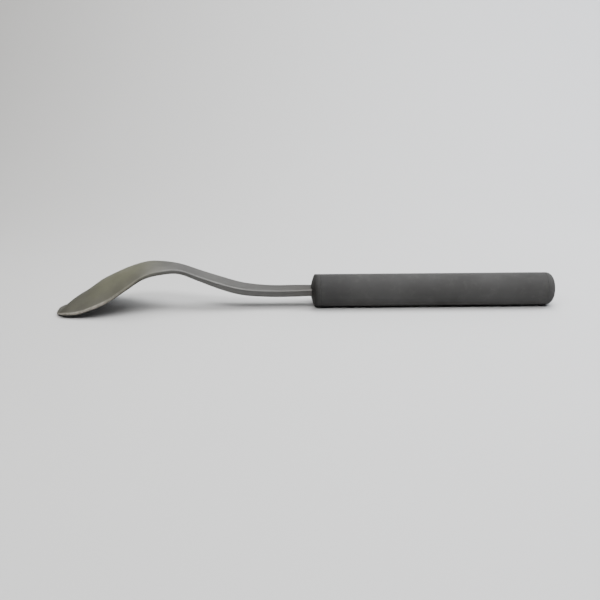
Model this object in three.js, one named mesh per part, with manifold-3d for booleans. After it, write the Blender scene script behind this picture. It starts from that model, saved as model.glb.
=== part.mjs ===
// A hive tool: a spade blade on an arched steel neck, whose tang is pinned inside a round gripped handle.
// Millimetres, +Z up. The tool lies as it does on a table, blade towards -X and handle along +X.
// The origin is under the middle of the whole tool, on the table.

import * as THREE from 'three';
import { mergeVertices } from 'three/addons/utils/BufferGeometryUtils.js';
import Module from 'manifold-3d';

const wasm = await Module();
wasm.setup();

// Overall
const LENGTH = 251;
const FIT_GAP = 0.3;
const TIP_X = -LENGTH / 2;
const BUTT_X = LENGTH / 2;

// Handle
const HANDLE_RADIUS = 8.25;
const AXIS_Z = HANDLE_RADIUS;
const HANDLE_FRONT_X = 2.6;
const SLEEVE_WALL = 2.1;
const SLEEVE_END_ROUND = 0.4;
const ROUND_SIDES = 48;
const ARC_STEPS = 6;

// Front collar
const COLLAR_DOME = 1.8;
const COLLAR_RIM_ROUND = 0.5;
const COLLAR_LENGTH = 5;
const COLLAR_SPIGOT = 4;

// Butt plug
const BUTT_HEAD = 4.2;
const BUTT_ROUND = 3.4;
const BUTT_SPIGOT = 8;

// Core, tang and pin
const CORE_RADIUS = HANDLE_RADIUS - SLEEVE_WALL - FIT_GAP;
const CORE_SIDES = 40;
const TANG_HALF_WIDTH = 3.5;
const TANG_THICKNESS = 3.6;
const TANG_END_X = 74;
const SHOULDER_X = HANDLE_FRONT_X + COLLAR_LENGTH + COLLAR_SPIGOT;
const PIN_RADIUS = 1.25;
const PIN_X = 44;
const PIN_SIDES = 20;

// Blade and neck
const NECK_HALF_WIDTH = 4.2;
const TANG_TOP_Z = AXIS_Z + TANG_THICKNESS / 2;
const EDGE_THICKNESS = 0.9;
const BLADE_THICKNESS = 2.2;
const BLADE_LENGTH = 58;
const RIM_THINNING = 0.5;
const THINNING_POWER = 4;
const NOSE_SKEW = 0.4;
const NOSE_SKEW_FROM = 4;
const NOSE_SKEW_TO = 28;
const NOSE_LEAD = 0.64;
const NOSE_X = TIP_X + NOSE_LEAD;
const LENGTH_STEPS = 96;
const WIDTH_STEPS = 12;

// Each station: distance from the nose, height of the crown, half width of the blade there,
// how far the rim hangs below the crown, and how far the rim is set back from it.
const STATIONS = [
  [0, 0.9, 4.0, 0, 1.0],
  [1.5, 1.0, 7.0, 0.1, 0.9],
  [4, 2.3, 10.7, 1.1, 0.8],
  [9, 6.6, 14.9, 4.3, 0.8],
  [15, 10.3, 16.3, 7.1, 0.6],
  [21, 14.4, 16.6, 8.6, 0.3],
  [29, 18.4, 15.9, 8.5, 0],
  [37, 21.7, 14.6, 6.5, 0],
  [45, 23.8, 11.6, 3.7, 0],
  [53, 23.7, 8.6, 2.0, 0],
  [62, 21.9, 5.7, 0.6, 0],
  [72, 17.9, 5.6, 0, 0],
  [82, 14.4, 5.9, 0, 0],
  [93, 11.3, 5.5, 0, 0],
  [107, 9.9, 4.8, 0, 0],
  [119, 9.9, 4.8, 0, 0],
  [HANDLE_FRONT_X - NOSE_X + 2, TANG_TOP_Z, NECK_HALF_WIDTH, 0, 0],
  [SHOULDER_X - NOSE_X - 1, TANG_TOP_Z, NECK_HALF_WIDTH, 0, 0],
];

const STEEL = { color: 0x8d8b86, roughness: 0.45, metalness: 0.9 };
const DARK_STEEL = { color: 0x77756f, roughness: 0.5, metalness: 0.9 };
const GRIP = { color: 0x4a4a4a, roughness: 0.85, metalness: 0 };
const DARK_PLASTIC = { color: 0x3d3d3c, roughness: 0.7, metalness: 0 };
const CORE_PLASTIC = { color: 0x6f6a60, roughness: 0.8, metalness: 0 };

function piece(name, geometry, look) {
  const mesh = new THREE.Mesh(geometry, new THREE.MeshStandardMaterial(look));
  mesh.name = name;
  return mesh;
}

// Booleans, on closed geometry whose shared vertices are merged.

function solid(geometry) {
  const bare = geometry.clone();
  bare.deleteAttribute('normal');
  bare.deleteAttribute('uv');
  const merged = mergeVertices(bare, 1e-4);
  return new wasm.Manifold(new wasm.Mesh({
    numProp: 3,
    vertProperties: new Float32Array(merged.attributes.position.array),
    triVerts: new Uint32Array(merged.index.array),
  }));
}

function geometryOf(manifold) {
  const mesh = manifold.getMesh();
  const geometry = new THREE.BufferGeometry();
  geometry.setAttribute('position', new THREE.BufferAttribute(mesh.vertProperties, 3));
  geometry.setIndex(new THREE.BufferAttribute(mesh.triVerts, 1));
  return geometry;
}

function cut(geometry, ...tools) {
  let body = solid(geometry);
  for (const tool of tools) {
    body = body.subtract(solid(tool));
  }
  return geometryOf(body);
}

// A solid turned about the handle's axis, from [x, radius] points.

function turned(points, sides) {
  const profile = points.map(([x, radius]) => new THREE.Vector2(radius, x));
  const geometry = new THREE.LatheGeometry(profile, sides);
  geometry.rotateZ(-Math.PI / 2);
  geometry.translate(0, 0, AXIS_Z);
  return geometry;
}

// Points of a quarter round on the rim of a turned piece, from the side towards the end face.

function rimRound(endX, radius, round, direction) {
  const points = [];
  for (let i = 0; i <= ARC_STEPS; i += 1) {
    const angle = (i / ARC_STEPS) * Math.PI / 2;
    const x = endX - direction * round * (1 - Math.sin(angle));
    points.push([x, radius - round * (1 - Math.cos(angle))]);
  }
  return points;
}

// Slots and holes

function tangSlot(fromX, toX, halfWidth) {
  const slot = new THREE.BoxGeometry(
    toX - fromX,
    2 * (halfWidth + FIT_GAP),
    TANG_THICKNESS + 2 * FIT_GAP,
  );
  slot.translate((fromX + toX) / 2, 0, AXIS_Z);
  return slot;
}

function pinRod(radius, length) {
  const rod = new THREE.CylinderGeometry(radius, radius, length, PIN_SIDES);
  rod.rotateX(Math.PI / 2);
  rod.translate(PIN_X, 0, AXIS_Z);
  return rod;
}

// Blade: a flat grid laid between the crown line and the rim line, thinner towards its rim and tip,
// and ground flat underneath where the front rim lies on the table.

function bladeLines() {
  const tang = [[SHOULDER_X, TANG_HALF_WIDTH], [(SHOULDER_X + TANG_END_X) / 2, TANG_HALF_WIDTH],
    [TANG_END_X, TANG_HALF_WIDTH]];
  const crown = STATIONS.map(([x, z]) => new THREE.Vector3(NOSE_X + x, 0, z));
  const rim = STATIONS.map(([x, z, width, drop, back]) => (
    new THREE.Vector3(NOSE_X + x + back, width, z - drop)
  ));
  for (const [x, width] of tang) {
    crown.push(new THREE.Vector3(x, 0, TANG_TOP_Z));
    rim.push(new THREE.Vector3(x, width, TANG_TOP_Z));
  }
  return [new THREE.CatmullRomCurve3(crown), new THREE.CatmullRomCurve3(rim)];
}

function thicknessAt(x, across) {
  const along = THREE.MathUtils.clamp((x - TIP_X) / BLADE_LENGTH, 0, 1);
  const nearTip = THREE.MathUtils.smoothstep(along, 0, 0.25);
  const body = THREE.MathUtils.lerp(EDGE_THICKNESS, BLADE_THICKNESS, nearTip);
  const toNeck = THREE.MathUtils.smoothstep(x, TIP_X + BLADE_LENGTH, HANDLE_FRONT_X - 30);
  const middle = THREE.MathUtils.lerp(body, TANG_THICKNESS, toNeck);
  const thinning = RIM_THINNING * nearTip * (1 - THREE.MathUtils.smoothstep(along, 0.5, 1));
  return middle * (1 - thinning * Math.abs(across) ** THINNING_POWER);
}

// The nose is ground askew: the far corner (+Y) stands back and the near one leads.

function skewAt(x) {
  return NOSE_SKEW * (1 - THREE.MathUtils.smoothstep(x, TIP_X + NOSE_SKEW_FROM, TIP_X + NOSE_SKEW_TO));
}

function makeBlade() {
  const [crown, rim] = bladeLines();
  const geometry = new THREE.BoxGeometry(1, 2, 1, LENGTH_STEPS, WIDTH_STEPS, 1);
  const position = geometry.attributes.position;
  for (let i = 0; i < position.count; i += 1) {
    const along = position.getX(i) + 0.5;
    const across = position.getY(i);
    const isTop = position.getZ(i) > 0;
    const ridge = crown.getPoint(along);
    const edge = rim.getPoint(along);
    const slope = crown.getTangent(along);
    const bend = across * across;
    const depth = isTop ? 0 : thicknessAt(ridge.x, across);
    const y = edge.y * across;
    const x = THREE.MathUtils.lerp(ridge.x, edge.x, bend) + skewAt(ridge.x) * y + slope.z * depth;
    const z = THREE.MathUtils.lerp(ridge.z, edge.z, bend) - slope.x * depth;
    position.setXYZ(i, x, y, Math.max(z, 0));
  }
  const hole = pinRod(PIN_RADIUS + FIT_GAP, 4 * TANG_THICKNESS);
  return piece('blade', cut(geometry, hole), STEEL);
}

// Handle

function makeFrontCollar() {
  const rearX = HANDLE_FRONT_X + COLLAR_LENGTH;
  const faceRadius = HANDLE_RADIUS - COLLAR_RIM_ROUND;
  const profile = [[HANDLE_FRONT_X, 0]];
  for (let i = 1; i < ARC_STEPS; i += 1) {
    const share = i / ARC_STEPS;
    profile.push([HANDLE_FRONT_X + COLLAR_DOME * share ** 2, faceRadius * share]);
  }
  profile.push(...rimRound(HANDLE_FRONT_X + COLLAR_DOME, HANDLE_RADIUS, COLLAR_RIM_ROUND, -1).reverse());
  profile.push([rearX, HANDLE_RADIUS], [rearX, CORE_RADIUS]);
  profile.push([rearX + COLLAR_SPIGOT, CORE_RADIUS], [rearX + COLLAR_SPIGOT, 0]);
  const slot = tangSlot(HANDLE_FRONT_X - 5, rearX + COLLAR_SPIGOT + 5, NECK_HALF_WIDTH);
  return piece('front_collar', cut(turned(profile, ROUND_SIDES), slot), DARK_PLASTIC);
}

function makeGripSleeve() {
  const front = HANDLE_FRONT_X + COLLAR_LENGTH + FIT_GAP;
  const rear = BUTT_X - BUTT_HEAD - FIT_GAP;
  const bore = HANDLE_RADIUS - SLEEVE_WALL;
  const profile = [
    [front, bore],
    ...rimRound(front, HANDLE_RADIUS, SLEEVE_END_ROUND, -1).reverse(),
    ...rimRound(rear, HANDLE_RADIUS, SLEEVE_END_ROUND, 1),
    [rear, bore],
    [front, bore],
  ];
  return piece('grip_sleeve', turned(profile, ROUND_SIDES), GRIP);
}

function makeButtPlug() {
  const headX = BUTT_X - BUTT_HEAD;
  const spigotX = headX - BUTT_SPIGOT;
  const profile = [
    [spigotX, 0],
    [spigotX, CORE_RADIUS],
    [headX, CORE_RADIUS],
    [headX, HANDLE_RADIUS],
    ...rimRound(BUTT_X, HANDLE_RADIUS, BUTT_ROUND, 1),
    [BUTT_X, 0],
  ];
  return piece('butt_plug', turned(profile, ROUND_SIDES), DARK_PLASTIC);
}

function makeHandleCore() {
  const front = SHOULDER_X + FIT_GAP;
  const rear = BUTT_X - BUTT_HEAD - BUTT_SPIGOT - FIT_GAP;
  const profile = [[front, 0], [front, CORE_RADIUS], [rear, CORE_RADIUS], [rear, 0]];
  const slot = tangSlot(front - 5, TANG_END_X + FIT_GAP, TANG_HALF_WIDTH);
  const hole = pinRod(PIN_RADIUS + FIT_GAP, 4 * HANDLE_RADIUS);
  return piece('handle_core', cut(turned(profile, CORE_SIDES), slot, hole), CORE_PLASTIC);
}

function makeTangPin() {
  return piece('tang_pin', pinRod(PIN_RADIUS, 2 * CORE_RADIUS - 2 * FIT_GAP), DARK_STEEL);
}

const hiveTool = new THREE.Group();
hiveTool.name = 'hive_tool';
hiveTool.add(
  makeBlade(),
  makeFrontCollar(),
  makeGripSleeve(),
  makeButtPlug(),
  makeHandleCore(),
  makeTangPin(),
);

export default hiveTool;
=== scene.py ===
import math

import bmesh
import bpy
from mathutils import Matrix, Vector


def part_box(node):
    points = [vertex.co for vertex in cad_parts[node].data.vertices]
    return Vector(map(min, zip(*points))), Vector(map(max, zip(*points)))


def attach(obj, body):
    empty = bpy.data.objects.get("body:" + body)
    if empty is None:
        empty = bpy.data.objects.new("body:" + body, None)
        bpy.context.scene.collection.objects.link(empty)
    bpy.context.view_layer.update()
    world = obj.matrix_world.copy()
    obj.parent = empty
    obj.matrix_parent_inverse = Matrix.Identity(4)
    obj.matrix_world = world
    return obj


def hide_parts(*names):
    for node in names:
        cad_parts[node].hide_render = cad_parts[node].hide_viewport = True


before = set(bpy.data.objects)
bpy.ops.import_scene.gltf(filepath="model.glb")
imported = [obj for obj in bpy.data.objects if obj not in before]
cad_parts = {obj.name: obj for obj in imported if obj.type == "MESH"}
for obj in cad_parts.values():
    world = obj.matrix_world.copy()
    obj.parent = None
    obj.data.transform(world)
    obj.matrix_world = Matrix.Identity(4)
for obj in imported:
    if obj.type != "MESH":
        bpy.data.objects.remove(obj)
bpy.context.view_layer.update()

MM = 0.001
TINY = 1e-9
BODY = "root"

# ---------------------------------------------------------------- places taken from the frame

blade_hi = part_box("blade")[1]
collar_lo, collar_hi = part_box("front_collar")
sleeve_lo, sleeve_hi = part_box("grip_sleeve")
plug_lo, plug_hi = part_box("butt_plug")
core_lo, core_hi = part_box("handle_core")
pin_lo, pin_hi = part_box("tang_pin")

HANDLE_RADIUS = (sleeve_hi.z - sleeve_lo.z) / 2
AXIS_Z = (sleeve_hi.z + sleeve_lo.z) / 2
CORE_RADIUS = (core_hi.z - core_lo.z) / 2
FIT_GAP = 0.3 * MM
SLEEVE_BORE = CORE_RADIUS + FIT_GAP
# The frame is centred on the tool's length, so the nose lies as far back as the butt lies forward.
TIP_X = -plug_hi.x
TANG_END_X = blade_hi.x
COLLAR_REAR_X = sleeve_lo.x - FIT_GAP
COLLAR_LENGTH = 5 * MM
HANDLE_FRONT_X = COLLAR_REAR_X - COLLAR_LENGTH
SHOULDER_X = collar_hi.x
PIN_X = (pin_lo.x + pin_hi.x) / 2
PIN_RADIUS = (pin_hi.x - pin_lo.x) / 2

# ---------------------------------------------------------------- small mesh tools


WELD = 0.002 * MM
SHARP_ANGLE = 40


def link(name, data):
    """A new object in the scene that shows a mesh, a light or a camera."""
    made = bpy.data.objects.new(name, data)
    bpy.context.scene.collection.objects.link(made)
    return made


def finish_mesh(name, bm, smooth_angle=SHARP_ANGLE):
    """A linked object from a bmesh, smooth but for edges sharper than smooth_angle degrees."""
    bmesh.ops.recalc_face_normals(bm, faces=bm.faces)
    for face in bm.faces:
        face.smooth = True
    for edge in bm.edges:
        edge.smooth = edge.calc_face_angle(0.0) < math.radians(smooth_angle)
    mesh = bpy.data.meshes.new(name)
    bm.to_mesh(mesh)
    bm.free()
    return link(name, mesh)


def arc(x, radius, round_r, start, end, steps):
    """Profile points round a corner of centre (x, radius), angles in degrees from +X."""
    points = []
    for i in range(steps + 1):
        angle = math.radians(start + (end - start) * i / steps)
        points.append((x + round_r * math.cos(angle), radius + round_r * math.sin(angle)))
    return points


def turned(name, profile, sides=192, closed=False):
    """A solid turned about the handle's axis. An open profile starts and ends on the axis."""
    bm = bmesh.new()
    rings = []
    for x, radius in profile:
        if radius < TINY:
            rings.append([bm.verts.new((x, 0, AXIS_Z))])
            continue
        ring = []
        for i in range(sides):
            angle = 2 * math.pi * i / sides
            y, z = radius * math.sin(angle), radius * math.cos(angle)
            ring.append(bm.verts.new((x, y, AXIS_Z + z)))
        rings.append(ring)
    pairs = list(zip(rings, rings[1:]))
    if closed:
        pairs.append((rings[-1], rings[0]))
    for ring, following in pairs:
        for i in range(sides):
            k = (i + 1) % sides
            corners = [ring[i % len(ring)], ring[k % len(ring)],
                       following[k % len(following)], following[i % len(following)]]
            bm.faces.new(list(dict.fromkeys(corners)))
    return finish_mesh(name, bm)


def cut_away(piece, cutter):
    """Cuts the cutter out of the piece, clears the slivers the cut leaves, and removes the cutter."""
    modifier = piece.modifiers.new("cut", "BOOLEAN")
    modifier.operation = "DIFFERENCE"
    modifier.solver = "EXACT"
    modifier.object = cutter
    bpy.context.view_layer.update()
    evaluated = piece.evaluated_get(bpy.context.evaluated_depsgraph_get())
    mesh = bpy.data.meshes.new_from_object(evaluated)
    bm = bmesh.new()
    bm.from_mesh(mesh)
    bmesh.ops.dissolve_degenerate(bm, dist=WELD, edges=bm.edges)
    bmesh.ops.triangulate(bm, faces=[face for face in bm.faces if len(face.verts) > 4])
    bm.to_mesh(mesh)
    bm.free()
    piece.modifiers.clear()
    piece.data = mesh
    bpy.data.objects.remove(cutter)


def stands_for(piece, node, material):
    """The piece takes the CAD node's place, with its own material."""
    piece.data.materials.clear()
    piece.data.materials.append(material)
    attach(piece, BODY)
    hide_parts(node)


# ---------------------------------------------------------------- materials


class Shader:
    """A Principled material and short calls for the nodes that feed it."""

    def __init__(self, name, **values):
        self.material = bpy.data.materials.new(name)
        self.material.use_nodes = True
        self.tree = self.material.node_tree
        self.bsdf = self.tree.nodes["Principled BSDF"]
        for socket, value in values.items():
            self.bsdf.inputs[socket.replace("_", " ")].default_value = value
        self.place = self.node("ShaderNodeTexCoord").outputs["Object"]

    def node(self, kind, **settings):
        made = self.tree.nodes.new(kind)
        for key, value in settings.items():
            setattr(made, key, value)
        return made

    def wire(self, source, target):
        self.tree.links.new(source, target)

    def stretched(self, scale):
        mapping = self.node("ShaderNodeMapping")
        mapping.inputs["Scale"].default_value = scale
        self.wire(self.place, mapping.inputs["Vector"])
        return mapping.outputs["Vector"]

    def noise(self, scale, detail=4.0, roughness=0.55, stretch=None):
        """Noise with this many cells a metre, stretched where stretch gives a scale for each axis."""
        texture = self.node("ShaderNodeTexNoise")
        texture.inputs["Scale"].default_value = scale
        texture.inputs["Detail"].default_value = detail
        texture.inputs["Roughness"].default_value = roughness
        self.wire(self.stretched(stretch) if stretch else self.place, texture.inputs["Vector"])
        return texture.outputs["Fac"]

    def along_x(self, low, high):
        """0 at X = low, rising to 1 at X = high."""
        parts = self.node("ShaderNodeSeparateXYZ")
        self.wire(self.place, parts.inputs["Vector"])
        span = self.node("ShaderNodeMapRange")
        span.inputs["From Min"].default_value = low
        span.inputs["From Max"].default_value = high
        self.wire(parts.outputs["X"], span.inputs["Value"])
        return span.outputs["Result"]

    def ramp(self, source, stops):
        """stops are (place, grey or colour) pairs."""
        made = self.node("ShaderNodeValToRGB")
        elements = made.color_ramp.elements
        while len(elements) < len(stops):
            elements.new(0.5)
        for element, (place, colour) in zip(elements, stops):
            element.position = place
            shade = colour if isinstance(colour, tuple) else (colour,) * 3
            element.color = (*shade, 1)
        self.wire(source, made.inputs["Fac"])
        return made.outputs["Color"]

    def mix(self, factor, first, second, blend="MIX"):
        made = self.node("ShaderNodeMix", data_type="RGBA", blend_type=blend)
        for socket, source in ((0, factor), (6, first), (7, second)):
            if isinstance(source, bpy.types.NodeSocket):
                self.wire(source, made.inputs[socket])
            else:
                value = (*source, 1) if isinstance(source, tuple) else source
                made.inputs[socket].default_value = value
        return made.outputs[2]

    def attribute(self, name):
        return self.node("ShaderNodeAttribute", attribute_name=name).outputs["Fac"]

    def colour(self, source):
        self.wire(source, self.bsdf.inputs["Base Color"])

    def rough(self, source):
        self.wire(source, self.bsdf.inputs["Roughness"])

    def bump(self, *layers):
        """layers are (height, strength, depth in metres) from coarse to fine."""
        normal = None
        for height, strength, depth in layers:
            made = self.node("ShaderNodeBump")
            made.inputs["Strength"].default_value = strength
            made.inputs["Distance"].default_value = depth
            self.wire(height, made.inputs["Height"])
            if normal:
                self.wire(normal, made.inputs["Normal"])
            normal = made.outputs["Normal"]
        self.wire(normal, self.bsdf.inputs["Normal"])


def blade_steel():
    """Dull steel: fine scratches along it, olive staining, a lip bright with wear, painted shade on
    its lower face and near the handle, and darker near the nose and towards the rims.
    """
    s = Shader("blade_steel", Metallic=0.6, Specular_Tint=(0.35, 0.35, 0.33, 1))
    cloud = s.noise(55, 5.0, 0.6)
    stain = s.ramp(s.noise(28, 6.0, 0.62), [(0.34, 0.35), (0.62, 1.0)])
    clean = s.ramp(cloud, [(0.3, (0.088, 0.087, 0.084)), (0.7, (0.120, 0.118, 0.114))])
    stained = s.mix(s.noise(140, 3.0), (0.146, 0.145, 0.104), (0.200, 0.198, 0.150))
    hollow = s.mix(1.0, stain, s.attribute("stain"), "MULTIPLY")
    body = s.mix(hollow, clean, stained)
    # Painted shade: the edge mark darkens the lower face and the steel near the handle; it also
    # darkens the nose and the rims.
    body_shaded_and_darkened = s.mix(s.attribute("edge"), body, (0.070, 0.065, 0.061))
    speckle = s.ramp(s.noise(420, 2.0), [(0.3, 0.3), (0.6, 1.0)])
    wear_and_highlight = s.mix(1.0, s.attribute("wear_and_highlight"), speckle, "MULTIPLY")
    s.colour(s.mix(wear_and_highlight, body_shaded_and_darkened, (0.46, 0.43, 0.37)))
    scratches = s.noise(900, 3.0, 0.7, stretch=(0.06, 1.0, 1.0))
    grime = s.ramp(s.noise(95, 4.0), [(0.3, 0.44), (0.72, 0.60)])
    s.rough(s.mix(0.25, grime, s.ramp(scratches, [(0.3, 0.34), (0.7, 0.66)])))
    s.bump((s.noise(130, 3.0), 0.35, 0.06 * MM), (scratches, 0.35, 0.02 * MM))
    return s.material


CHARCOAL_DARK = (0.052, 0.051, 0.050)
CHARCOAL_LIGHT = (0.073, 0.072, 0.071)
CHARCOAL_SHEEN = 0.08


def charcoal(name, dusted):
    """A charcoal moulding: cloudy tone, fine grain and a little dust in it."""
    s = Shader(name, Specular_IOR_Level=CHARCOAL_SHEEN, Diffuse_Roughness=1.0)
    middle = tuple((a + b) / 2 for a, b in zip(CHARCOAL_DARK, CHARCOAL_LIGHT))
    base = s.ramp(s.noise(34, 5.0, 0.6),
                  [(0.3, CHARCOAL_DARK), (0.5, middle), (0.72, CHARCOAL_LIGHT)])
    dust = s.ramp(s.noise(210, 6.0, 0.7), [(0.52, 0.0), (0.78, 0.35)])
    s.rough(s.ramp(s.noise(60, 4.0), [(0.3, 0.54), (0.7, 0.64)]))
    s.bump((s.noise(300, 3.0), 0.25, 0.04 * MM), (s.noise(2600, 2.0, 0.5), 0.5, 0.03 * MM))
    return s, s.mix(dust, base, dusted)


def grip_rubber():
    """The grip: matte charcoal, with painted shade that darkens it towards its front."""
    s, dusty = charcoal("grip_rubber", (0.115, 0.113, 0.108))
    # Painted shade darkens the grip towards its front.
    s.colour(s.mix(s.attribute("front_shade"), dusty, (0.014, 0.014, 0.015)))
    return s.material


def end_plastic():
    """The end mouldings: painted shade on the collar's front, and a painted highlight that makes the
    plug a little paler round its end.
    """
    s, dusty = charcoal("end_plastic", (0.100, 0.100, 0.100))
    # Painted shade on the front face of the collar.
    face_shaded = s.mix(s.attribute("face"), dusty, (0.020, 0.019, 0.018))
    # A painted highlight, paler round the plug's end; the collar carries none, and on the blade the
    # same mark is real wear.
    s.colour(s.mix(s.attribute("wear_and_highlight"), face_shaded, (0.12, 0.122, 0.126)))
    return s.material


def core_plastic():
    """Pale moulded plastic for the core inside the handle."""
    s = Shader("core_plastic")
    s.colour(s.ramp(s.noise(90, 4.0), [(0.3, (0.26, 0.24, 0.21)), (0.7, (0.34, 0.32, 0.28))]))
    s.rough(s.ramp(s.noise(200, 3.0), [(0.3, 0.5), (0.7, 0.7)]))
    s.bump((s.noise(1500, 2.0), 0.3, 0.03 * MM))
    return s.material


def pin_steel():
    """Bright turned steel for the pin."""
    s = Shader("pin_steel", Metallic=1.0)
    s.colour(s.ramp(s.noise(300, 4.0), [(0.3, (0.48, 0.48, 0.47)), (0.7, (0.58, 0.58, 0.57))]))
    turned_lines = s.noise(1500, 2.0, 0.5, stretch=(1.0, 1.0, 0.05))
    s.rough(s.ramp(turned_lines, [(0.3, 0.22), (0.7, 0.4)]))
    s.bump((turned_lines, 0.3, 0.01 * MM))
    return s.material


PAPER_LIGHT_REACH = 0.35


def paper():
    """Plain pale paper with painted light: darker and warmer to the left, brighter and cooler to the
    right.
    """
    s = Shader("paper", Specular_IOR_Level=0.1, Roughness=0.9)
    # Painted light across the paper, darker and warmer to the left, brighter and cooler to the right.
    painted_light = s.ramp(s.along_x(-PAPER_LIGHT_REACH, PAPER_LIGHT_REACH),
                  [(0.0, (0.44, 0.432, 0.418)), (0.5, (0.555, 0.555, 0.552)),
                   (1.0, (0.665, 0.67, 0.69))])
    mottle = s.ramp(s.noise(6, 3.0), [(0.3, 0.98), (0.7, 1.0)])
    s.colour(s.mix(1.0, painted_light, mottle, "MULTIPLY"))
    return s.material


# ---------------------------------------------------------------- blade, neck and tang

NECK_HALF_WIDTH = 4.2 * MM
TANG_HALF_WIDTH = 3.5 * MM
TANG_THICKNESS = 3.6 * MM
TANG_TOP_Z = AXIS_Z + TANG_THICKNESS / 2
EDGE_THICKNESS = 0.9 * MM
BLADE_THICKNESS = 2.2 * MM
BLADE_LENGTH = 58 * MM
TIP_SHARE = 0.25
NECK_FULL_BEFORE = 30 * MM
RIM_THINNING = 0.5
THINNING_POWER = 4
THINNING_FADES = 0.5
NOSE_SKEW = 0.4
NOSE_SKEW_FROM = 4 * MM
NOSE_SKEW_TO = 28 * MM
NOSE_LEAD = 0.64 * MM
NECK_PAST_FRONT = 2 * MM
NECK_BEFORE_SHOULDER = 1 * MM
BLADE_CORNER = 0.4 * MM
NECK_CORNER = 0.9 * MM
CORNER_SHARE = 0.48
LENGTH_STEPS = 420
FLAT_STEPS = 26
CORNER_STEPS = 5
SLOPE_STEP = 1e-4
HOLE_CUTTER_LENGTH = 4 * TANG_THICKNESS

# Where the blade gives way to the neck, in blade lengths from the tip.
NECK_FROM = 0.75
NECK_TO = 1.3

# Marks on the steel, from 0 to 1, and where they fade. Stations are counted from the nose for
# the lip and from the last station for the stain.
LIP_WEAR = 0.6
LIP_WIDTH = 1.6 * BLADE_CORNER
LIP_STATIONS = (5, 8)
STAIN_STATIONS = (8, 5)
# Darkening of the blade towards both rims, rising from 0.45 to 0.95 of the half width.
RIM_DARKENING = 0.5
RIM_DARKENING_ACROSS = (0.45, 0.95)
# Painted shade on the neck where it meets the handle, over this run.
HANDLE_SHADE = 0.5
HANDLE_SHADE_RUN = 22 * MM
# Darkening of the steel near the nose, fading out between these distances from the tip.
NOSE_DARKENING = 0.60
NOSE_DARKENING_FROM = 6 * MM
NOSE_DARKENING_TO = 28 * MM

# Millimetres: distance from the nose, crown height, half width, rim drop, rim setback.
STATIONS = (
    (0, 0.9, 4.0, 0, 1.0),
    (1.5, 1.0, 7.0, 0.1, 0.9),
    (4, 2.3, 10.7, 1.1, 0.8),
    (9, 6.6, 14.9, 4.3, 0.8),
    (15, 10.3, 16.3, 7.1, 0.6),
    (21, 14.4, 16.6, 8.6, 0.3),
    (29, 18.4, 15.9, 8.5, 0),
    (37, 21.7, 14.6, 6.5, 0),
    (45, 23.8, 11.6, 3.7, 0),
    (53, 23.7, 8.6, 2.0, 0),
    (62, 21.9, 5.7, 0.6, 0),
    (72, 17.9, 5.6, 0, 0),
    (82, 14.4, 5.9, 0, 0),
    (93, 11.3, 5.5, 0, 0),
    (107, 9.9, 4.8, 0, 0),
    (119, 9.9, 4.8, 0, 0),
)


def smoothstep(value, low, high):
    """0 below low, 1 above high, and a smooth rise between them."""
    t = min(max((value - low) / (high - low), 0.0), 1.0)
    return t * t * (3 - 2 * t)


def blade_lines():
    """The crown line and the rim line as lists of points, station by station."""
    nose_x = TIP_X + NOSE_LEAD
    crown = [Vector((nose_x + x * MM, 0, z * MM)) for x, z, _, _, _ in STATIONS]
    rim = [Vector((nose_x + (x + back) * MM, width * MM, (z - drop) * MM))
           for x, z, width, drop, back in STATIONS]
    neck_ends = (HANDLE_FRONT_X + NECK_PAST_FRONT, SHOULDER_X - NECK_BEFORE_SHOULDER)
    tang_ends = (SHOULDER_X, (SHOULDER_X + TANG_END_X) / 2, TANG_END_X)
    for places, width in ((neck_ends, NECK_HALF_WIDTH), (tang_ends, TANG_HALF_WIDTH)):
        for x in places:
            crown.append(Vector((x, 0, TANG_TOP_Z)))
            rim.append(Vector((x, width, TANG_TOP_Z)))
    return crown, rim


def along_curve(points, t):
    """The point at t, from 0 to 1, of a centripetal Catmull-Rom curve through the points."""
    spans = len(points) - 1
    i = min(int(t * spans), spans - 1)
    u = t * spans - i
    p1, p2 = points[i], points[i + 1]
    p0 = points[i - 1] if i > 0 else 2 * p1 - p2
    p3 = points[i + 2] if i + 2 <= spans else 2 * p2 - p1
    d0 = max((p1 - p0).length, TINY) ** 0.5
    d1 = max((p2 - p1).length, TINY) ** 0.5
    d2 = max((p3 - p2).length, TINY) ** 0.5
    m1 = ((p1 - p0) / d0 - (p2 - p0) / (d0 + d1) + (p2 - p1) / d1) * d1
    m2 = ((p2 - p1) / d1 - (p3 - p1) / (d1 + d2) + (p3 - p2) / d2) * d1
    a = 2 * (p1 - p2) + m1 + m2
    b = 3 * (p2 - p1) - 2 * m1 - m2
    return ((a * u + b) * u + m1) * u + p1


def thickness_at(x, across):
    """The bar's thickness at X, thinner towards the rims, which lie at across = -1 and 1."""
    along = min(max((x - TIP_X) / BLADE_LENGTH, 0.0), 1.0)
    near_tip = smoothstep(along, 0, TIP_SHARE)
    body = EDGE_THICKNESS + (BLADE_THICKNESS - EDGE_THICKNESS) * near_tip
    to_neck = smoothstep(x, TIP_X + BLADE_LENGTH, HANDLE_FRONT_X - NECK_FULL_BEFORE)
    middle = body + (TANG_THICKNESS - body) * to_neck
    thinning = RIM_THINNING * near_tip * (1 - smoothstep(along, THINNING_FADES, 1))
    return middle * (1 - thinning * abs(across) ** THINNING_POWER)


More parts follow.
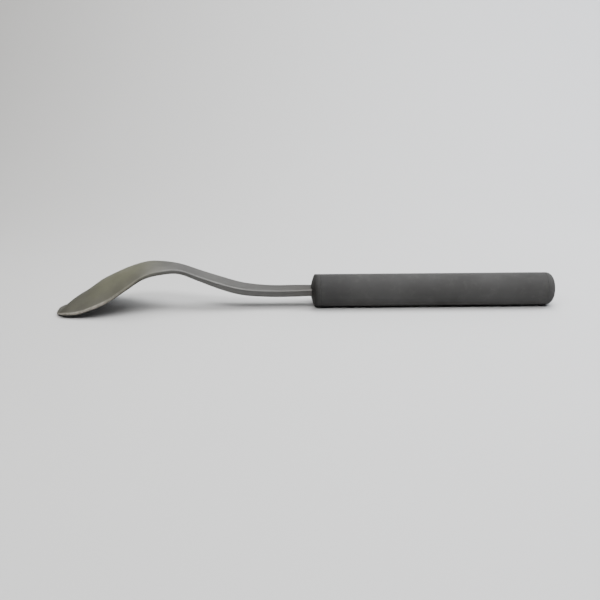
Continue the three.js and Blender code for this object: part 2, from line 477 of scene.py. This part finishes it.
def section(half_width, edge_thickness, corner):
    """Half of a section's outline, from edge to edge, as (across, inset from the face) pairs."""
    round_r = min(corner, CORNER_SHARE * edge_thickness)
    flat = half_width - round_r
    upper = []
    for i in range(CORNER_STEPS):
        angle = math.pi / 2 * i / CORNER_STEPS
        upper.append((-flat - round_r * math.cos(angle), round_r * (1 - math.sin(angle))))
    for i in range(FLAT_STEPS + 1):
        upper.append((-flat * math.cos(math.pi * i / FLAT_STEPS), 0.0))
    for i in range(CORNER_STEPS):
        angle = math.pi / 2 * (1 - (i + 1) / CORNER_STEPS)
        upper.append((flat + round_r * math.cos(angle), round_r * (1 - math.sin(angle))))
    return upper


def turned_rod(name, radius, length, sides=64):
    """An upright rod at the pin, turned so that none of its corners lies in the middle plane."""
    bm = bmesh.new()
    place = Matrix.Translation((PIN_X, 0, AXIS_Z)) @ Matrix.Rotation(math.pi / sides, 4, "Z")
    bmesh.ops.create_cone(bm, segments=sides, radius1=radius, radius2=radius, depth=length,
                          cap_ends=True, matrix=place)
    return finish_mesh(name, bm)


def steel_marks(across, side, is_rim, station, on_neck, handle_shade_and_nose_dark):
    """The wear, stain and edge marks of a point. The edge mark is painted shade on the lower face off
    the neck and near the handle, and darkening near the nose and towards the rims. side is 0 on the
    upper face and 1 on the lower.
    """
    last = len(STATIONS) - 1
    on_blade = 1 - smoothstep(station, last - STAIN_STATIONS[0], last - STAIN_STATIONS[1])
    on_lip = 1 - smoothstep(station, *LIP_STATIONS)
    rim_darkening = RIM_DARKENING * on_blade * smoothstep(abs(across), *RIM_DARKENING_ACROSS)
    # The edge mark: painted shade on the lower face off the neck, with the darkening passed in and the
    # darkening towards the rims.
    return LIP_WEAR * on_lip if is_rim else 0.0, on_blade, max(side * (1 - on_neck), handle_shade_and_nose_dark, rim_darkening)


def make_blade(material):
    """One closed skin of loops round the bar, set along the crown line, with the pin's hole cut."""
    crown_points, rim_points = blade_lines()
    bm = bmesh.new()
    # The edge layer carries painted shade, and darkening near the nose and towards the rims.
    layers = [bm.verts.layers.float.new(name) for name in ("wear_and_highlight", "stain", "edge")]
    spans = len(crown_points) - 1
    loops = []
    for step in range(LENGTH_STEPS + 1):
        t = step / LENGTH_STEPS
        ridge = along_curve(crown_points, t)
        edge = along_curve(rim_points, t)
        ahead = along_curve(crown_points, min(t + SLOPE_STEP, 1))
        behind = along_curve(crown_points, max(t - SLOPE_STEP, 0))
        slope = (ahead - behind).normalized()
        skew = NOSE_SKEW * (1 - smoothstep(ridge.x, TIP_X + NOSE_SKEW_FROM, TIP_X + NOSE_SKEW_TO))
        on_neck = smoothstep(ridge.x, TIP_X + NECK_FROM * BLADE_LENGTH, TIP_X + NECK_TO * BLADE_LENGTH)
        # Painted shade near the handle and darkening near the nose, both fed into the edge mark.
        near_handle = smoothstep(ridge.x, HANDLE_FRONT_X - HANDLE_SHADE_RUN, HANDLE_FRONT_X)
        near_nose = 1 - smoothstep(ridge.x, TIP_X + NOSE_DARKENING_FROM, TIP_X + NOSE_DARKENING_TO)
        handle_shade_and_nose_dark = max(HANDLE_SHADE * near_handle, NOSE_DARKENING * near_nose)
        corner = BLADE_CORNER + (NECK_CORNER - BLADE_CORNER) * on_neck
        upper = section(edge.y, thickness_at(ridge.x, 1.0), corner)
        loop = []
        for side, points in enumerate((upper, upper[::-1])):
            for y, inset in points:
                across = y / edge.y
                full = thickness_at(ridge.x, across)
                depth = inset if side == 0 else full - inset
                place = ridge.lerp(edge, across * across)
                x = place.x + skew * y + slope.z * depth
                z = place.z - slope.x * depth
                vert = bm.verts.new((x, y, max(z, 0)))
                is_rim = edge.y - abs(y) < LIP_WIDTH and side == 0
                marks = steel_marks(across, side, is_rim, t * spans, on_neck, handle_shade_and_nose_dark)
                for layer, value in zip(layers, marks):
                    vert[layer] = value
                loop.append(vert)
        loops.append(loop)
    count = len(loops[0])
    half = count // 2
    for first, second in zip(loops, loops[1:]):
        for i in range(count):
            k = (i + 1) % count
            bm.faces.new((first[i], first[k], second[k], second[i]))
    for loop in (loops[0], loops[-1]):
        for i in range(half - 1):
            bm.faces.new((loop[i], loop[i + 1], loop[count - 2 - i], loop[count - 1 - i]))
    blade = finish_mesh("blade_forged", bm, smooth_angle=50)
    cut_away(blade, turned_rod("pin_hole", PIN_RADIUS + FIT_GAP, HOLE_CUTTER_LENGTH))
    stands_for(blade, "blade", material)


# ---------------------------------------------------------------- handle

COLLAR_DOME = 1.8 * MM
COLLAR_RIM_ROUND = 0.5 * MM
SEAM = 0.08 * MM
EDGE_ROUND = 0.12 * MM
BUTT_ROUND = 3.4 * MM
ARC_STEPS = 10
PROFILE_STEP = 3 * MM
SLOT_CUTTER_REACH = 3

# Marks on the handle, from 0 to 1, and where they start and end: painted shade on the collar's front
# face and towards the grip's front, and a painted highlight round the butt's end.
COLLAR_FACE_SHADE_FADE = 0.75
FRONT_SHADE = 0.30
FRONT_SHADE_FROM = 4 * MM
FRONT_SHADE_TO = 20 * MM
# A painted highlight round the butt's end.
BUTT_HIGHLIGHT = 0.1
BUTT_HIGHLIGHT_FROM = 1.5 * MM
BUTT_HIGHLIGHT_TO = 0.8 * MM
BUTT_HIGHLIGHT_RADII = (0.7 * HANDLE_RADIUS, 0.85 * HANDLE_RADIUS)


def mark(piece, name, share):
    """Writes a vertex attribute, from 0 to 1, by share(x, radius)."""
    layer = piece.data.attributes.new(name, "FLOAT", "POINT")
    for vert, value in zip(piece.data.vertices, layer.data):
        radius = math.hypot(vert.co.y, vert.co.z - AXIS_Z)
        value.value = share(vert.co.x, radius)


def subdivided(profile):
    """The profile with its long straight runs cut into steps of a few millimetres."""
    points = [profile[0]]
    for (x0, r0), (x1, r1) in zip(profile, profile[1:]):
        steps = max(1, round(math.hypot(x1 - x0, r1 - r0) / PROFILE_STEP))
        points += [(x0 + (x1 - x0) * i / steps, r0 + (r1 - r0) * i / steps)
                   for i in range(1, steps + 1)]
    return points


def make_collar(material):
    """The front ring: a shallow cap with a round at its rim, and a slot for the neck through it."""
    face_radius = HANDLE_RADIUS - COLLAR_RIM_ROUND
    rim_x = HANDLE_FRONT_X + COLLAR_DOME
    shares = [i / (2 * ARC_STEPS) for i in range(2 * ARC_STEPS)]
    profile = [(HANDLE_FRONT_X + COLLAR_DOME * share ** 2, face_radius * share) for share in shares]
    profile += arc(rim_x + COLLAR_RIM_ROUND, face_radius, COLLAR_RIM_ROUND, 180, 90, ARC_STEPS)
    profile.append((rim_x + 2 * COLLAR_RIM_ROUND, HANDLE_RADIUS))
    profile.append((rim_x + 4 * COLLAR_RIM_ROUND, HANDLE_RADIUS))
    profile += arc(COLLAR_REAR_X - EDGE_ROUND, HANDLE_RADIUS - EDGE_ROUND, EDGE_ROUND,
                   90, 0, ARC_STEPS)
    profile += [(COLLAR_REAR_X, CORE_RADIUS), (collar_hi.x, CORE_RADIUS), (collar_hi.x, 0)]
    collar = turned("collar_moulded", profile)
    bm = bmesh.new()
    size = (SLOT_CUTTER_REACH * (collar_hi.x - collar_lo.x), 2 * (NECK_HALF_WIDTH + FIT_GAP),
            TANG_THICKNESS + 2 * FIT_GAP)
    place = Matrix.Translation((collar_lo.x, 0, AXIS_Z)) @ Matrix.Diagonal((*size, 1))
    bmesh.ops.create_cube(bm, size=1, matrix=place)
    cut_away(collar, finish_mesh("tang_slot", bm))
    # The collar and the plug share a material, so each carries both of its marks.
    mark(collar, "wear_and_highlight", lambda x, r: 0.0)
    # Painted shade on the collar's front face, fading towards its rear.
    mark(collar, "face", lambda x, r: 1 - COLLAR_FACE_SHADE_FADE * smoothstep(x, rim_x, COLLAR_REAR_X))
    stands_for(collar, "front_collar", material)


def make_sleeve(material):
    """The grip: a plain tube with small rounds at its ends, with painted shade darkest near the front.
    """
    centre = HANDLE_RADIUS - EDGE_ROUND
    front = COLLAR_REAR_X + SEAM
    rear = sleeve_hi.x + FIT_GAP - SEAM
    profile = [(front, SLEEVE_BORE)]
    profile += arc(front + EDGE_ROUND, centre, EDGE_ROUND, 180, 90, ARC_STEPS)
    profile += arc(rear - EDGE_ROUND, centre, EDGE_ROUND, 90, 0, ARC_STEPS)
    profile += [(rear, SLEEVE_BORE)]
    sleeve = turned("grip_moulded", subdivided(profile), closed=True)
    first, last = sleeve_lo.x + FRONT_SHADE_FROM, sleeve_lo.x + FRONT_SHADE_TO
    # Painted shade, strongest near the front of the grip.
    mark(sleeve, "front_shade", lambda x, r: FRONT_SHADE * (1 - smoothstep(x, first, last)))
    stands_for(sleeve, "grip_sleeve", material)


def make_plug(material):
    """The butt: a spigot inside the sleeve and a head with a large round at its end."""
    head_x = sleeve_hi.x + FIT_GAP
    profile = [(plug_lo.x, 0), (plug_lo.x, CORE_RADIUS), (head_x, CORE_RADIUS)]
    profile += arc(head_x + EDGE_ROUND, HANDLE_RADIUS - EDGE_ROUND, EDGE_ROUND, 180, 90, ARC_STEPS)
    profile += arc(plug_hi.x - BUTT_ROUND, HANDLE_RADIUS - BUTT_ROUND, BUTT_ROUND,
                   90, 0, 2 * ARC_STEPS)
    profile += [(plug_hi.x, 0)]
    plug = turned("butt_moulded", profile)
    # A painted highlight, a little paler round the butt's end.
    first, last = plug_hi.x - BUTT_HIGHLIGHT_FROM, plug_hi.x - BUTT_HIGHLIGHT_TO
    mark(plug, "wear_and_highlight", lambda x, r: BUTT_HIGHLIGHT * smoothstep(x, first, last)
         * smoothstep(r, *BUTT_HIGHLIGHT_RADII))
    mark(plug, "face", lambda x, r: 0.0)
    stands_for(plug, "butt_plug", material)


CORE_BEVEL = 0.3 * MM
PIN_BEVEL = 0.2 * MM
BEVEL_SEGMENTS = 3


def finish_hidden(node, material, bevel):
    """The CAD node stays, with softened edges and its own material."""
    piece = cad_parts[node]
    piece.data.materials.clear()
    piece.data.materials.append(material)
    soften = piece.modifiers.new("soften", "BEVEL")
    soften.width = bevel
    soften.segments = BEVEL_SEGMENTS
    soften.limit_method = "ANGLE"
    soften.angle_limit = math.radians(SHARP_ANGLE)


# ---------------------------------------------------------------- stage, light and camera

AIM = Vector((-2.8 * MM, 0, AXIS_Z))
ELEVATION = 20.0
DISTANCE = 352 * MM
ROLL = -0.5
AIM_ABOVE_CENTRE = 0.8
LENS = 41.4
CLIP_START = 0.01

FLOOR_NEAR = -1.2
FLOOR_FAR = 0.14
SWEEP_RADIUS = 0.35
WALL_TOP = 1.6
STAGE_HALF_WIDTH = 1.6
SWEEP_STEPS = 24

WORLD_STRENGTH = 0.04
WHITE = (1.0, 1.0, 1.0)
ORIGIN = (0.0, 0.0, 0.0)
# Name, place, target, size, watts, colour.
LIGHTS = (
    ("key", (0.10, 0.06, 0.66), ORIGIN, (0.55, 0.32), 6.6, WHITE),
    ("front", (-0.12, -0.34, 0.60), ORIGIN, (0.8, 0.22), 5.4, WHITE),
    ("backdrop", (0.75, 0.10, 0.72), (0.48, 0.5, 0.35), (0.5, 0.4), 8.5, (0.94, 0.97, 1.0)),
)


def make_stage():
    """A sheet of paper that lies flat under the tool and sweeps up into a wall behind it."""
    rows = [(FLOOR_NEAR, 0.0), (0.0, 0.0), (FLOOR_FAR, 0.0)]
    for i in range(1, SWEEP_STEPS + 1):
        angle = math.pi / 2 * i / SWEEP_STEPS
        rows.append((FLOOR_FAR + SWEEP_RADIUS * math.sin(angle),
                     SWEEP_RADIUS * (1 - math.cos(angle))))
    rows.append((FLOOR_FAR + SWEEP_RADIUS, WALL_TOP))
    bm = bmesh.new()
    strips = [[bm.verts.new((x, y, z)) for x in (-STAGE_HALF_WIDTH, STAGE_HALF_WIDTH)]
              for y, z in rows]
    for first, second in zip(strips, strips[1:]):
        bm.faces.new((first[0], first[1], second[1], second[0]))
    sweep = finish_mesh("paper_sweep", bm, smooth_angle=80)
    sweep.data.materials.append(paper())


def area_light(name, place, target, size, power, colour):
    """A rectangular lamp at a place, turned towards its target."""
    light = bpy.data.lights.new(name, "AREA")
    light.shape = "RECTANGLE"
    light.size, light.size_y = size
    light.energy = power
    light.color = colour
    lamp = link(name, light)
    lamp.location = place
    lamp.rotation_euler = (Vector(target) - Vector(place)).to_track_quat("-Z", "Y").to_euler()


def make_light():
    world = bpy.data.worlds.new("studio")
    world.use_nodes = True
    background = world.node_tree.nodes["Background"]
    background.inputs["Color"].default_value = (*WHITE, 1)
    background.inputs["Strength"].default_value = WORLD_STRENGTH
    bpy.context.scene.world = world
    for settings in LIGHTS:
        area_light(*settings)


def make_camera():
    camera = bpy.data.cameras.new("camera")
    camera.lens = LENS
    camera.clip_start = CLIP_START
    holder = link("camera", camera)
    up = math.radians(ELEVATION)
    place = AIM + DISTANCE * Vector((0, -math.cos(up), math.sin(up)))
    pitch = Matrix.Rotation(math.radians(90 - ELEVATION - AIM_ABOVE_CENTRE), 4, "X")
    roll = Matrix.Rotation(math.radians(ROLL), 4, "Z")
    holder.matrix_world = Matrix.Translation(place) @ pitch @ roll
    bpy.context.scene.camera = holder


make_camera()
make_stage()
make_light()
make_blade(blade_steel())
end_material = end_plastic()
make_collar(end_material)
make_sleeve(grip_rubber())
make_plug(end_material)
finish_hidden("handle_core", core_plastic(), CORE_BEVEL)
finish_hidden("tang_pin", pin_steel(), PIN_BEVEL)
